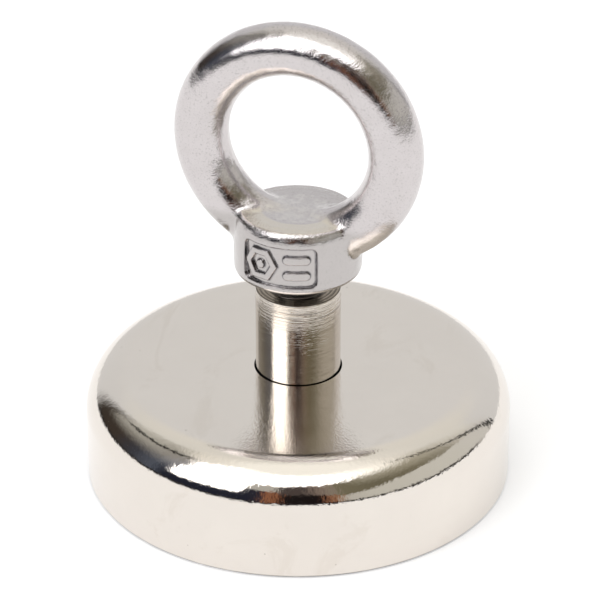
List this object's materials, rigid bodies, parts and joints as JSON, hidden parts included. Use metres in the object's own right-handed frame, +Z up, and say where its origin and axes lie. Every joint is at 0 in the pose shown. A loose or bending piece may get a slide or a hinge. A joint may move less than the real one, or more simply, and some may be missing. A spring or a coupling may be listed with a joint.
{
  "type": "pot magnet with eye bolt",
  "caption": "Round steel pot magnet with a raised threaded bush on top and a screwed-in ring eye bolt, for fishing metal out of water on a rope.",
  "frame": {"origin": "centre of the pot's foot, on the rim plane of the pull face", "axes": "+Z up along the bush and the shank; the ring of the eye lies in the XZ plane, and the marked side of its collar faces -Y"},
  "size_m": [0.06, 0.06, 0.0686],
  "materials": {
    "nickel_steel": "bright nickel plate on turned steel",
    "bush_nickel": "nickel plate over fine turning marks",
    "eye_steel": "satin forged steel, tumbled, fine grain",
    "magnet_nickel": "nickel plate",
    "epoxy": "cured potting resin",
    "thread_lock": "cured thread-lock"
  },
  "bodies": {
    "pot": {"pot_cup": "nickel_steel", "neodymium_magnet": "magnet_nickel", "epoxy_fill": "epoxy", "threaded_bush": "bush_nickel"},
    "thread_carrier": {"thread_lock_drop": "thread_lock"},
    "eye": {"eye_bolt": "eye_steel"}
  },
  "joints": [
    {"name": "eye_lift", "type": "slide", "parent": "pot", "child": "thread_carrier", "axis": [0, 0, 1], "range_m": [0, 0.0088]},
    {"name": "eye_turn", "type": "hinge", "parent": "thread_carrier", "child": "eye", "pos_m": [0, 0, 0.03], "axis": [0, 0, 1], "range_deg": [0, 2520]}
  ],
  "couplings": [
    {"joint": "eye_lift", "follows": "eye_turn", "m_per_rad": 0.00019894}
  ]
}
